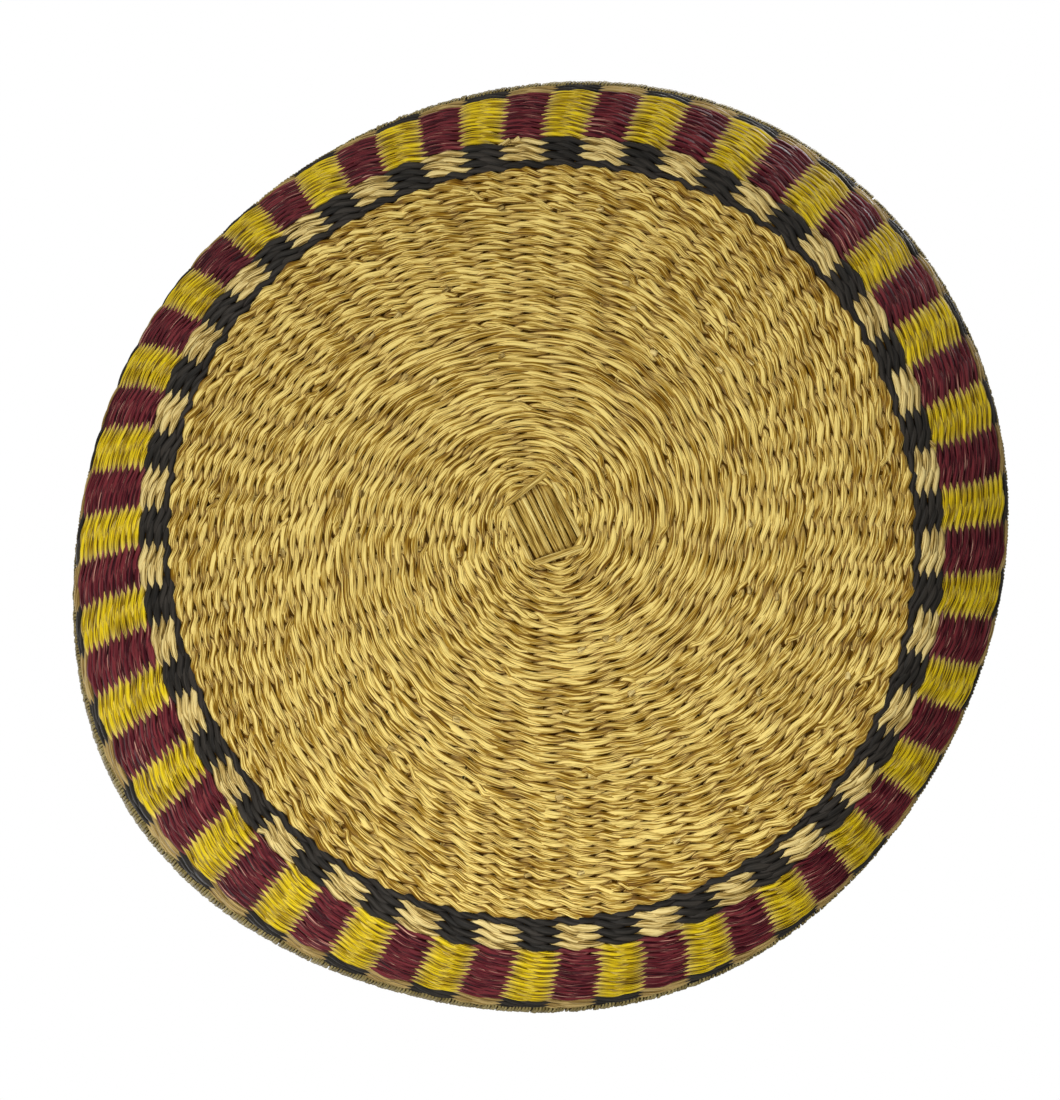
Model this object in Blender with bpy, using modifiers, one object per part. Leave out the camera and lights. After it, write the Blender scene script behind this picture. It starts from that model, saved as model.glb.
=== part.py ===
# Shallow round basket of twined straw, standing on its base with the mouth up.
# Stakes run out from a cross of straws at the middle; pairs of strands are twined round them.
import math

import bmesh
import bpy
from mathutils import Matrix, Vector

# Counts of straws and rows
OUTSIDE_STRAWS = 9
CROSSING_STRAWS = 7
STAKE_ENDS = 2 * (OUTSIDE_STRAWS + CROSSING_STRAWS) - 1
COLUMNS = 2 * STAKE_ENDS
LINE_ROWS = 1
CHECK_ROWS = 3
MAIN_ROWS = 11

# Driving sizes, in metres
CLEARANCE = 0.0003
STAKE_RADIUS = 0.00095
STRAND_THICKNESS = 0.0017
ROW_PITCH = 0.00295
BASE_RADIUS = 0.121
FOOT_BEND_RADIUS = 0.017
WALL_BEND_RADIUS = 0.102
TOP_BEND_RADIUS = 0.017
ADDED_STAKE_START = 0.088
CROSSING_WIDTH = 0.0028
WRAP_THICKNESS = 0.00095
WRAP_GRIP = 0.003
STITCH_CROWN = 0.0008

# The weave of the base, as broad ridges that each stand for several rows
RIDGES = 4
RIDGE_DEPTH = 0.0012
OUTER_GROOVE = 0.1065
RESTING_RING = 0.1135

# The cross of straws at the middle
START_RADIUS = 0.019
STRAW_GAP = 0.0003
BINDER_REACH = 0.01145
FAN_BULGE = 0.004

# Directions in the plane of the base, and how far the oval mouth leans out of round
FIRST_COLUMN_ANGLE = math.radians(-4.0)
START_ANGLE = math.radians(63.4)
START_COLUMN = 12
FLARE_ANGLE = math.radians(-45.4)
FLARE_SHARE = 0.0426

# Worked out from the sizes above
COLUMN_STEP = math.tau / COLUMNS
WALL_THICKNESS = 2 * (STAKE_RADIUS + CLEARANCE + STRAND_THICKNESS)
STRAND_OFFSET = STAKE_RADIUS + CLEARANCE + STRAND_THICKNESS / 2
BASE_MIDDLE = WALL_THICKNESS / 2
LINE_END = LINE_ROWS * ROW_PITCH
FOOT_END = LINE_END + CHECK_ROWS * ROW_PITCH
MAIN_END = FOOT_END + MAIN_ROWS * ROW_PITCH
WALL_END = MAIN_END + CHECK_ROWS * ROW_PITCH
WALL_ARCS = ((0.0, FOOT_END, FOOT_BEND_RADIUS),
             (FOOT_END, MAIN_END, WALL_BEND_RADIUS),
             (MAIN_END, math.inf, TOP_BEND_RADIUS))
RIM_CORE_RADIUS = WALL_THICKNESS / 2
RIM_CENTRE = WALL_END + CLEARANCE + RIM_CORE_RADIUS
STRAW_PITCH = 2 * STAKE_RADIUS + STRAW_GAP
LOW_LEVEL = STAKE_RADIUS + CLEARANCE
HIGH_LEVEL = LOW_LEVEL + 2 * STAKE_RADIUS + CLEARANCE
TUNNEL_RADIUS = STAKE_RADIUS + CLEARANCE
MERGE_DISTANCE = CLEARANCE / 100

# Roundness of the meshes
RIM_SIDES = 8
TUNNEL_SIDES = 6
STRAW_BEVEL_RESOLUTION = 0
SHARP_ANGLE = math.radians(40)
RIDGE_SHARP_ANGLE = math.radians(5)

NATURAL = (0.56, 0.38, 0.11)
PALE_NATURAL = (0.62, 0.44, 0.16)
RIM_KHAKI = (0.34, 0.27, 0.12)
YELLOW = (0.62, 0.43, 0.02)
MAROON = (0.085, 0.012, 0.026)
BLACK = (0.018, 0.020, 0.020)


def clear_scene():
    for old in list(bpy.data.objects):
        bpy.data.objects.remove(old, do_unlink=True)


def make_collection(name):
    collection = bpy.data.collections.new(name)
    bpy.context.scene.collection.children.link(collection)
    return collection


def make_material(name, colour, roughness):
    material = bpy.data.materials.new(name)
    material.use_nodes = True
    shader = material.node_tree.nodes["Principled BSDF"]
    shader.inputs["Base Color"].default_value = (*colour, 1.0)
    shader.inputs["Roughness"].default_value = roughness
    shader.inputs["Metallic"].default_value = 0.0
    return material


def wall_point(length, offset):
    """Radius and height at a length up the middle of the wall from the base's edge.

    The base is flat, the foot is one arc, the main band a wider one, and the top bends upright.
    A positive offset is towards the outside of the basket.
    """
    slope = 0.0
    radius = BASE_RADIUS + min(length, 0.0)
    height = BASE_MIDDLE
    for first, last, bend_radius in WALL_ARCS:
        turned = slope + (min(max(length, first), last) - first) / bend_radius
        radius += bend_radius * (math.sin(turned) - math.sin(slope))
        height += bend_radius * (math.cos(slope) - math.cos(turned))
        slope = turned
    return radius + offset * math.sin(slope), height - offset * math.cos(slope)


def wall_place(angle, length, offset):
    """The same point, turned round the basket's axis by an angle."""
    radius, height = wall_point(length, offset)
    return Vector((radius * math.cos(angle), radius * math.sin(angle), height))


def column_angle(column):
    return FIRST_COLUMN_ANGLE + column * COLUMN_STEP


def flare(point, top):
    """Leans the wall into an oval: out along one diagonal and in along the other."""
    rise = max(0.0, point.z - WALL_THICKNESS) / (top - WALL_THICKNESS)
    turn = Matrix.Rotation(FLARE_ANGLE, 3, "Z")
    local = turn.transposed() @ point
    local.x *= 1 + FLARE_SHARE * rise
    local.y *= 1 - FLARE_SHARE * rise
    return turn @ local


def rim_top():
    """Height of the rim's highest point, before the oval is added."""
    return wall_point(RIM_CENTRE, 0.0)[1] + RIM_CORE_RADIUS + CLEARANCE + WRAP_THICKNESS


def finish_piece(source, name, collection, material, sharp_angle=SHARP_ANGLE):
    """Turns an object with its modifiers into one flared mesh and names it."""
    evaluated = source.evaluated_get(bpy.context.evaluated_depsgraph_get())
    mesh = bpy.data.meshes.new_from_object(evaluated)
    shape = bmesh.new()
    shape.from_mesh(mesh)
    bmesh.ops.remove_doubles(shape, verts=shape.verts, dist=MERGE_DISTANCE)
    top = rim_top()
    for vertex in shape.verts:
        vertex.co = flare(vertex.co, top)
    bmesh.ops.recalc_face_normals(shape, faces=shape.faces)
    shape.to_mesh(mesh)
    shape.free()
    mesh.shade_smooth()
    mesh.set_sharp_from_angle(angle=sharp_angle)
    mesh.name = name
    mesh.materials.clear()
    mesh.materials.append(material)
    bpy.data.objects.remove(source, do_unlink=True)
    piece = bpy.data.objects.new(name, mesh)
    collection.objects.link(piece)
    return piece


def add_mesh(name, shape, collection):
    mesh = bpy.data.meshes.new(name)
    shape.to_mesh(mesh)
    shape.free()
    piece = bpy.data.objects.new(name, mesh)
    collection.objects.link(piece)
    return piece


def add_ring(section, collection):
    """Turns a closed section of (radius, height) points round the basket's axis."""
    shape = bmesh.new()
    corners = [shape.verts.new((radius, 0.0, height)) for radius, height in section]
    for first, second in zip(corners, corners[1:] + corners[:1]):
        shape.edges.new((first, second))
    bmesh.ops.rotate(shape, verts=shape.verts, cent=(0, 0, 0),
                     matrix=Matrix.Rotation(column_angle(0.5), 3, "Z"))
    ring = add_mesh("ring", shape, collection)
    screw = ring.modifiers.new("Turn", "SCREW")
    screw.axis = "Z"
    screw.steps = COLUMNS
    screw.render_steps = COLUMNS
    screw.use_merge_vertices = True
    screw.merge_threshold = MERGE_DISTANCE
    return ring


def add_straws(name, routes, collection, material):
    """A numbered straw for each route, as a curve with a bevel and filled ends."""
    for number, route in enumerate(routes, 1):
        curve = bpy.data.curves.new("straw", "CURVE")
        curve.dimensions = "3D"
        curve.bevel_depth = STAKE_RADIUS
        curve.bevel_resolution = STRAW_BEVEL_RESOLUTION
        curve.use_fill_caps = True
        spline = curve.splines.new("POLY")
        spline.points.add(len(route) - 1)
        for point, place in zip(spline.points, route):
            point.co = (*place, 1.0)
        straw = bpy.data.objects.new("straw", curve)
        collection.objects.link(straw)
        finish_piece(straw, f"{name}_{number:02d}", collection, material)


def stake_up_wall(angle):
    """The part of a stake from the base's edge to its end under the rim, at each row border."""
    middle_of_checks = (LINE_END + FOOT_END) / 2
    middle_of_main = (FOOT_END + MAIN_END) / 2
    middle_of_top = (MAIN_END + WALL_END) / 2
    lengths = [0.0, LINE_END, middle_of_checks, FOOT_END, middle_of_main, MAIN_END, middle_of_top,
               WALL_END - CLEARANCE]
    return [wall_place(angle, length, 0.0) for length in lengths]


def straw_end_angle(end):
    """Direction in which an end of the starting straws runs out, counted round the basket."""
    return column_angle(START_COLUMN + 2 * end)


def from_start(across, along, height):
    """A point given across and along the outside straws of the starting cross."""
    local = Vector((across, along, height))
    return Matrix.Rotation(START_ANGLE - math.tau / 4, 3, "Z") @ local


def fan_out(end):
    """From the edge of the woven base out along a stake's own radius and up the wall."""
    angle = straw_end_angle(end)
    entry = Vector((START_RADIUS * math.cos(angle), START_RADIUS * math.sin(angle), BASE_MIDDLE))
    return [entry] + stake_up_wall(angle)


def start_places(count):
    """Evenly spaced places of parallel straws, on both sides of the middle."""
    return [(index - (count - 1) / 2) * STRAW_PITCH for index in range(count)]


def fan_start(place, last_place, nearest):
    """How far a parallel straw runs on before it turns: the middle ones turn last."""
    return nearest + FAN_BULGE * (1 - (place / last_place) ** 2)


def outside_routes():
    """Straws seen on the underside: low at the middle, and over the binding straws."""
    flat_reach = start_places(CROSSING_STRAWS - 2)[-1] + STAKE_RADIUS + CLEARANCE
    rise_end = BINDER_REACH - STAKE_RADIUS - CLEARANCE
    binder_end = BINDER_REACH + STAKE_RADIUS + CLEARANCE
    half = OUTSIDE_STRAWS // 2
    far_side = -(OUTSIDE_STRAWS + CROSSING_STRAWS)
    places = start_places(OUTSIDE_STRAWS)
    routes = []
    for index, across in enumerate(places):
        turn = fan_start(across, places[-1], binder_end)
        steps = [(flat_reach, LOW_LEVEL), (rise_end, HIGH_LEVEL), (turn, HIGH_LEVEL)]
        ahead = [from_start(across, along, height) for along, height in steps]
        behind = [from_start(across, -along, height) for along, height in steps]
        ahead += fan_out(half - index)
        behind += fan_out(far_side + index - half)
        routes.append(behind[::-1] + ahead)
    return routes


def crossing_routes():
    """Crossing straws: the two outer ones bind the cross, the rest pass above the others."""
    side_reach = start_places(OUTSIDE_STRAWS)[-1] + STAKE_RADIUS + CLEARANCE
    middle = [(along, HIGH_LEVEL) for along in start_places(CROSSING_STRAWS - 2)]
    places = [(-BINDER_REACH, LOW_LEVEL)] + middle + [(BINDER_REACH, LOW_LEVEL)]
    right_first = -(OUTSIDE_STRAWS // 2) - CROSSING_STRAWS
    left_first = right_first - OUTSIDE_STRAWS - 1
    routes = []
    for index, (along, height) in enumerate(places):
        turn = fan_start(along, BINDER_REACH, side_reach)
        right = [from_start(turn, along, height)] + fan_out(right_first + index)
        left = [from_start(-turn, along, height)]
        if index < CROSSING_STRAWS - 1:
            left += fan_out(left_first - index)
        routes.append(left[::-1] + right)
    return routes


def added_routes():
    """Stakes pushed in between the first ones where these have spread too far apart."""
    routes = []
    for end in range(STAKE_ENDS):
        angle = straw_end_angle(end) + COLUMN_STEP
        first = wall_place(angle, ADDED_STAKE_START - BASE_RADIUS, 0.0)
        routes.append([first] + stake_up_wall(angle))
    return routes


def tunnel_rods(guides):
    """Straight rods, a little thicker than the stakes, that cut their tunnels in the base."""
    shape = bmesh.new()
    for column in range(COLUMNS):
        angle = column_angle(START_COLUMN + column)
        inner = START_RADIUS - TUNNEL_RADIUS
        if column % 2:
            inner = ADDED_STAKE_START - CLEARANCE
        length = BASE_RADIUS + TUNNEL_RADIUS - inner
        place = Matrix.Rotation(angle, 4, "Z")
        place @= Matrix.Translation((inner + length / 2, 0.0, BASE_MIDDLE))
        place @= Matrix.Rotation(math.tau / 4, 4, "Y")
        bmesh.ops.create_cone(shape, cap_ends=True, segments=TUNNEL_SIDES, radius1=TUNNEL_RADIUS,
                              radius2=TUNNEL_RADIUS, depth=length, matrix=place)
    rods = add_mesh("stake_tunnels", shape, guides)
    rods.hide_render = True
    rods.display_type = "WIRE"
    return rods


def base_circles():
    """Circles of corners that shape one side of the base, from the starting cross outwards.

    Each is a radius, its first column, the columns from one corner to the next, and the depths
    that its corners take in turn. The weft stands out over the stakes and sinks between them.
    Inside the added stakes only every second column has one. The last ridge is flat, to rest on.
    """
    width = (ADDED_STAKE_START - START_RADIUS) / RIDGES
    circles = [(START_RADIUS, 1, 2, (0.0,))]
    for ridge in range(RIDGES):
        circles.append((START_RADIUS + (ridge + 0.5) * width, 1, 1, (RIDGE_DEPTH, 0.0)))
        circles.append((START_RADIUS + (ridge + 1) * width, 1, 1, (RIDGE_DEPTH,)))
    circles.append(((ADDED_STAKE_START + OUTER_GROOVE) / 2, 1, 0.5, (0.0, RIDGE_DEPTH)))
    circles.append((OUTER_GROOVE, 1, 1, (RIDGE_DEPTH,)))
    circles.append((RESTING_RING, 1.5, 1, (0.0,)))
    circles.append((BASE_RADIUS - CLEARANCE, 1.5, 1, (0.0,)))
    return circles


def circle_corners(shape, side, radius, first, step, depths):
    """The corners of one such circle, on the lower or the upper side of the base."""
    corners = []
    for number in range(round(COLUMNS / step)):
        angle = column_angle(first + number * step)
        depth = depths[number % len(depths)]
        place = (radius * math.cos(angle), radius * math.sin(angle), BASE_MIDDLE + side * (BASE_MIDDLE - depth))
        corners.append(shape.verts.new(place))
    return corners


def join_circles(shape, inner, outer):
    """Fills the band between two circles of corners, of one count or one twice the other."""
    coarse, fine = sorted((inner, outer), key=len)
    ratio = len(fine) // len(coarse)
    for number, corner in enumerate(coarse):
        following = coarse[(number + 1) % len(coarse)]
        last = fine[(number + 1) * ratio % len(fine)]
        if ratio == 1:
            shape.faces.new((corner, following, last, fine[number]))
        else:
            between = fine[number * 2 + 1]
            shape.faces.new((corner, following, between))
            shape.faces.new((corner, between, fine[number * 2]))
            shape.faces.new((following, last, between))


def add_base(collection, guides):
    """The twined base: a ring round the starting cross, ridged alike on both of its sides."""
    shape = bmesh.new()
    ends = []
    for side in (-1, 1):
        circles = [circle_corners(shape, side, *circle) for circle in base_circles()]
        for inner, outer in zip(circles, circles[1:]):
            join_circles(shape, inner, outer)
        ends.append((circles[0], circles[-1]))
    for lower, upper in zip(*ends):
        join_circles(shape, lower, upper)
    bmesh.ops.triangulate(shape, faces=shape.faces)
    bmesh.ops.recalc_face_normals(shape, faces=shape.faces)
    base = add_mesh("base", shape, collection)
    cut = base.modifiers.new("Tunnels", "BOOLEAN")
    cut.operation = "DIFFERENCE"
    cut.solver = "EXACT"
    cut.object = tunnel_rods(guides)
    return base


def twined_strand(first, last, phase, crown, collection):
    """One strand of a two-strand band, outside one stake and inside the next, all round.

    It is a sheet along the wall that steps from the outer to the inner side between stakes,
    with a thickness. The two strands step across in the upper and the lower half of the band.
    Each outer stitch stands out by the crown at its middle, where it passes the stake.
    """
    start = first + CLEARANCE / 2
    end = last - CLEARANCE / 2
    middle = (start + end) / 2
    if phase:
        stations = [start, middle - CLEARANCE, end]
    else:
        stations = [start, middle + CLEARANCE, end]
    margin = CROSSING_WIDTH / 2 / BASE_RADIUS
    shape = bmesh.new()
    rails = []
    for column in range(COLUMNS):
        outside = (column + phase) % 2 == 0
        for side in (-1, 0, 1) if outside and crown else (-1, 1):
            angle = column_angle(column + side / 2) - side * margin
            offset = STRAND_OFFSET - crown * abs(side) if outside else -STRAND_OFFSET
            corners = [shape.verts.new(wall_place(angle, length, offset)) for length in stations]
            rails.append((side, corners))
    for number, (side, rail) in enumerate(rails):
        following = rails[(number + 1) % len(rails)][1]
        for level in range(len(stations) - 1):
            if side == 1 and level == phase:
                continue
            shape.faces.new((rail[level], following[level], following[level + 1], rail[level + 1]))
    strand = add_mesh("strand", shape, collection)
    wall = strand.modifiers.new("Thickness", "SOLIDIFY")
    wall.thickness = STRAND_THICKNESS
    wall.offset = 0.0
    wall.use_even_offset = True
    return strand


def rim_circle(radius, turn, steps):
    """Points round the rim core's centre, from the inner side over the top and on."""
    points = []
    for step in range(steps + 1):
        angle = turn * step / steps
        points.append(wall_point(RIM_CENTRE + radius * math.sin(angle), -radius * math.cos(angle)))
    return points


def wrap_section():
    """The wrapping in section: an arch over the rim core, gripping the wall's top rows.

    Its outer side has one more corner, where it bends with the wall.
    """
    inner = RIM_CORE_RADIUS + CLEARANCE
    outer = inner + WRAP_THICKNESS
    hem = WALL_END - WRAP_GRIP
    over = rim_circle(outer, math.pi, RIM_SIDES // 2)
    under = rim_circle(inner, math.pi, RIM_SIDES // 2)[::-1]
    outer_hem = [wall_point(WALL_END, outer), wall_point(hem, outer), wall_point(hem, inner),
                 wall_point(WALL_END, inner)]
    inner_hem = [wall_point(hem, -inner), wall_point(hem, -outer)]
    return over + outer_hem + under + inner_hem


def build():
    clear_scene()
    basket = make_collection("woven_basket")
    guides = make_collection("cutters")
    natural = make_material("natural_straw", NATURAL, 0.55)
    pale = make_material("stake_straw", PALE_NATURAL, 0.5)
    rim_straw = make_material("rim_straw", RIM_KHAKI, 0.65)
    yellow = make_material("yellow_straw", YELLOW, 0.5)
    maroon = make_material("maroon_straw", MAROON, 0.5)
    black = make_material("black_straw", BLACK, 0.6)

    add_straws("outside_straw", outside_routes(), basket, pale)
    add_straws("crossing_straw", crossing_routes(), basket, pale)
    add_straws("added_stake", added_routes(), basket, pale)
    finish_piece(add_base(basket, guides), "base_weft", basket, natural, RIDGE_SHARP_ANGLE)

    bands = ((0.0, LINE_END, 0.0, ("line_strand_a", black), ("line_strand_b", black)),
             (LINE_END, FOOT_END, 0.0, ("inner_check_black", black), ("inner_check_natural", natural)),
             (FOOT_END, MAIN_END, STITCH_CROWN, ("main_check_yellow", yellow), ("main_check_maroon", maroon)),
             (MAIN_END, WALL_END, 0.0, ("outer_check_black", black), ("outer_check_natural", natural)))
    for first, last, crown, *strands in bands:
        for phase, (name, material) in enumerate(strands):
            finish_piece(twined_strand(first, last, phase, crown, basket), name, basket, material)

    core = add_ring(rim_circle(RIM_CORE_RADIUS, math.tau, RIM_SIDES)[:-1], basket)
    finish_piece(core, "rim_core", basket, pale)
    finish_piece(add_ring(wrap_section(), basket), "rim_wrap", basket, rim_straw)


build()
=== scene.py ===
import math

import bpy
import numpy as np
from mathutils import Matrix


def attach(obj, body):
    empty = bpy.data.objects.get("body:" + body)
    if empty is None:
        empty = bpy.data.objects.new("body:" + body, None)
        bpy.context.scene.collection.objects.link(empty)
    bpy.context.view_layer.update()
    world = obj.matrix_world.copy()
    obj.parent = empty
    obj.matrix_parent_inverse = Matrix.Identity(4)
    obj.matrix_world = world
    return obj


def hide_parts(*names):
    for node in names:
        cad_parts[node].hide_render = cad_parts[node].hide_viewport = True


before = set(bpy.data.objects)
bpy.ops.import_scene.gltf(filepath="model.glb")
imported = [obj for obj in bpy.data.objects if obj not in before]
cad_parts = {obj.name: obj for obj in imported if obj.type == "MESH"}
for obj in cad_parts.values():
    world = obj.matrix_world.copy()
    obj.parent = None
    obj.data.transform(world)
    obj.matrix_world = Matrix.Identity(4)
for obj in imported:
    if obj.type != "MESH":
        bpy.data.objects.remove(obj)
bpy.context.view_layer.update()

# Twined straw basket. Every row is two strands that pass each stake on opposite sides and
# change places between stakes; each strand is two flat straws lying side by side.

shape = {
    "columns": 62,              # stakes round the wall
    "firstColumn": -4.0,        # degrees, the middle of a yellow block
    "columnSway": 2.0,          # degrees that the hand-set stakes wander from even spacing
    "rowPitch": 0.00295,
    "baseRadius": 0.121,
    "middleHeight": 0.00295,    # the stakes' own level in the flat base
    "footBend": 0.017,          # radius of the arc from the base into the wall
    "wallBend": 0.102,          # radius of the main band's gentler arc
    "topBend": 0.017,           # radius of the arc that turns the top upright
    "lineRows": 1,
    "checkRows": 3,
    "mainRows": 11,
    "flareAngle": -45.4,        # degrees, the long way of the slightly oval mouth
    "flareShare": 0.0426,
    "topHeight": 0.0469,
    "startAngle": 63.4,         # degrees, the way the nine middle straws run
    "startShift": (-0.0005, -0.0054),   # the starting cross isn't quite in the middle
    "startRadius": 0.011,       # out to here the rings stretch fully along the starting cross
    "startSpread": 0.016,       # and further out less and less, over about this distance
    "startStretch": 0.13,
    "rimAbove": 0.0026,         # the rim's middle stands this far past the last row
    "topFrom": 0.62,            # share of the wall's height from which the top waves grow
    # Waves of the hand-made rings: count, degrees, share of the radius
    "baseWaves": ((0, 0.0, 0.0066), (1, 89.1, 0.0018), (2, -72.8, 0.0073),
                  (3, -51.0, 0.0070), (4, 35.6, 0.0074)),
    "rimWaves": ((0, 0.0, 0.0076), (1, 180.0, 0.0018), (2, 1.8, 0.0173),
                 (3, 52.0, 0.0084), (4, -21.0, 0.0082), (5, -0.8, 0.0076)),
    "topWaves": ((0, 0.0, 0.0026), (1, 85.0, 0.0035), (2, 88.5, 0.0196),
                 (3, 27.0, 0.0036), (4, -43.1, 0.0028), (5, 33.1, 0.0036)),
}

columnStep = math.tau / shape["columns"]
lineEnd = shape["lineRows"] * shape["rowPitch"]
footEnd = lineEnd + shape["checkRows"] * shape["rowPitch"]
mainEnd = footEnd + shape["mainRows"] * shape["rowPitch"]
wallEnd = mainEnd + shape["checkRows"] * shape["rowPitch"]
wallArcs = (                    # start and end along the wall, radius
    (0.0, footEnd, shape["footBend"]),
    (footEnd, mainEnd, shape["wallBend"]),
    (mainEnd, 1.0, shape["topBend"]),
)
rimCentre = wallEnd + shape["rimAbove"]
randomSource = np.random.default_rng(62)


def columnAngle(column):
    # First angle plus column times step, then swayed by the sine of itself.
    angle = math.radians(shape["firstColumn"]) + np.asarray(column, float) * columnStep
    return angle + math.radians(shape["columnSway"]) * np.sin(angle)


def onBasket(length, angle, outward):
    # Point at an arc length up the wall from the base's edge (negative is inward on the base).
    # Flat disc, then three arcs, each going on in the last one's direction: r sin and r cos of
    # the slope; outward is along the outer normal.
    # Near the middle the rings stretch along the starting cross and shift with it. The hand-made
    # rings wave a little, by cosines, and the wall spreads along one diagonal and closes in
    # across it.
    slope = 0.0
    radius = shape["baseRadius"] + np.minimum(length, 0.0)
    height = shape["middleHeight"]
    for first, last, bend in wallArcs:
        turned = slope + (np.clip(length, first, last) - first) / bend
        radius = radius + bend * (np.sin(turned) - np.sin(slope))
        height = height + bend * (np.cos(slope) - np.cos(turned))
        slope = turned
    flatRadius = radius
    radius = radius + outward * np.sin(slope)
    height = height - outward * np.cos(slope)
    start = math.radians(shape["startAngle"])
    beyond = np.clip(flatRadius - shape["startRadius"], 0, None)
    nearMiddle = np.exp(-((beyond / shape["startSpread"]) ** 2))
    radius = radius * (1 + shape["startStretch"] * nearMiddle * np.cos(2 * (angle - start)))
    rise = np.clip(height - 2 * shape["middleHeight"], 0.0, None)
    rise = rise / (shape["topHeight"] - 2 * shape["middleHeight"])
    low = np.clip(flatRadius / shape["baseRadius"], 0.0, 1.0) ** 2 * (1 - rise)
    top = np.clip((rise - shape["topFrom"]) / (1 - shape["topFrom"]), 0.0, None)
    waveSets = ((low, shape["baseWaves"]), (rise, shape["rimWaves"]), (top, shape["topWaves"]))
    for weight, waves in waveSets:
        for count, turned, share in waves:
            radius = radius * (1 + weight * share * np.cos(count * (angle - math.radians(turned))))
    shift = np.clip(1 - flatRadius / shape["baseRadius"], 0.0, 1.0)
    x = radius * np.cos(angle) + shape["startShift"][0] * shift
    y = radius * np.sin(angle) + shape["startShift"][1] * shift
    turn = math.radians(shape["flareAngle"])
    along = (x * math.cos(turn) + y * math.sin(turn)) * (1 + shape["flareShare"] * rise)
    across = (y * math.cos(turn) - x * math.sin(turn)) * (1 - shape["flareShare"] * rise)
    x = along * math.cos(turn) - across * math.sin(turn)
    y = along * math.sin(turn) + across * math.cos(turn)
    return np.stack(np.broadcast_arrays(x, y, height), axis=-1)


def loopFaces(tubes, around, sides, closed=True):
    # Quads of tubes whose points are numbered tube by tube, ring by ring, side by side.
    rings = around if closed else around - 1
    counts = (np.arange(tubes), np.arange(rings), np.arange(sides))
    tube, ring, side = np.meshgrid(*counts, indexing="ij")
    nextRing = (ring + 1) % around
    nextSide = (side + 1) % sides
    first = tube * around * sides
    corners = [first + ring * sides + side, first + nextRing * sides + side,
               first + nextRing * sides + nextSide, first + ring * sides + nextSide]
    return np.stack(corners, axis=-1).reshape(-1, 4)


def makePiece(name, points, faces, values, material, slotName, nodes):
    # Puts arrays of points and quads in a mesh, turned so that its volume is positive,
    # with each value of the dictionary as a point attribute.
    points = np.asarray(points, float).reshape(-1, 3)
    corner = points[faces]
    volume = 0.0
    for second, third in ((1, 2), (2, 3)):
        across = np.cross(corner[:, second], corner[:, third])
        volume += np.einsum("ij,ij->i", corner[:, 0], across).sum()
    if volume < 0:
        faces = faces[:, ::-1]
    mesh = bpy.data.meshes.new(name)
    mesh.vertices.add(len(points))
    mesh.vertices.foreach_set("co", points.astype(np.float32).ravel())
    mesh.loops.add(faces.size)
    mesh.loops.foreach_set("vertex_index", faces.astype(np.int32).ravel())
    mesh.polygons.add(len(faces))
    mesh.polygons.foreach_set("loop_start", np.arange(0, faces.size, 4, dtype=np.int32))
    mesh.update(calc_edges=True)
    mesh.validate()
    mesh.shade_smooth()
    for label, data in values.items():
        kind, field = ("FLOAT_VECTOR", "vector") if data.ndim > 1 else ("FLOAT", "value")
        attribute = mesh.attributes.new(label, kind, "POINT")
        attribute.data.foreach_set(field, data.astype(np.float32).ravel())
    mesh.materials.append(material)
    piece = bpy.data.objects.new(name, mesh)
    bpy.context.scene.collection.objects.link(piece)
    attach(piece, "root")
    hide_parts(*nodes)
    print(name, "-", len(faces) * 2, "triangles")
    return piece


fibrePattern = {
    "girth": 3.2,               # radius of the circle round a straw on which its streaks are read
    "seeds": 90,                # each straw's own seed lies between nought and this
    "seedShares": (1.0, 0.7, 0.31),     # how far a seed moves the straw in x, y and z
}


def fibreSpace(seed, corner, run, girth=fibrePattern["girth"]):
    # Where a straw's streaks are read: a circle round it and a line along it, moved by shares
    # of a seed, which sets each straw somewhere else in the pattern.
    moveX, moveY, moveZ = (seed * share for share in fibrePattern["seedShares"])
    around = (moveX + girth * np.cos(corner), moveY + girth * np.sin(corner))
    return np.stack(np.broadcast_arrays(*around, run + moveZ), axis=-1).reshape(-1, 3)


def perStitch(values, place):
    # Values given at whole columns, blended smoothly between them: 3f^2 - 2f^3 of the fraction.
    low = np.floor(place).astype(int)
    part = place - low
    part = part * part * (3 - 2 * part)
    count = values.shape[-1]
    return values[..., low % count] * (1 - part) + values[..., (low + 1) % count] * part


weave = {
    "samples": 8,           # rings of points for each stake that a straw passes
    "sides": 6,
    "outReach": 0.00138,    # how far a straw's middle stands out from the stakes
    "halfWidth": 0.00140,
    "halfThickness": 0.00072,
    "fullness": 0.64,       # power of the cosine: a low one keeps stitches full towards their ends
    "slant": 0.27,          # rise from a stitch's middle to its end, in rows
    "belly": 0.20,          # how far a stitch sags away from the middle of the base, in rows
    "spread": 0.25,         # each of a strand's two straws lies this far from its middle, in rows
    "lead": 0.55,           # one of the two comes up sooner than the other, in radians
    "paintedCrestShading": 0.26,     # painted highlight and shade: how much paler a stitch is at its middle than where it dives
    "meanLift": 0.64,       # the cosine's size on average, at which a stitch has its own tint without painted highlight or shade
    "paintedFaceShading": 0.6,       # painted highlight and shade: how much paler a straw's broad faces are than its edges
    "tip": 0.50,            # width of a straw where it dives, as a share of its full width
    "strawTint": 0.22,      # how far the straws differ in tint
    "streakRun": 1.3,       # length of the streaks' pattern for each stitch
    "driftWaves": (2, 9),   # a row drifts in waves: two round the basket, three and so on to eight
    "unevenness": 0.62,     # turns all of the chances below up or down
    "chance": {             # how much each thing wanders from stitch to stitch, or in the drift
        "phase": 0.12, "lead": 0.10, "reach": 0.00013, "slant": 0.05, "spread": 0.05,
        "level": 0.05, "drift": 0.10, "width": 0.16, "thickness": 0.08, "roll": 0.20,
        "tint": 0.14,
    },
}


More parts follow.
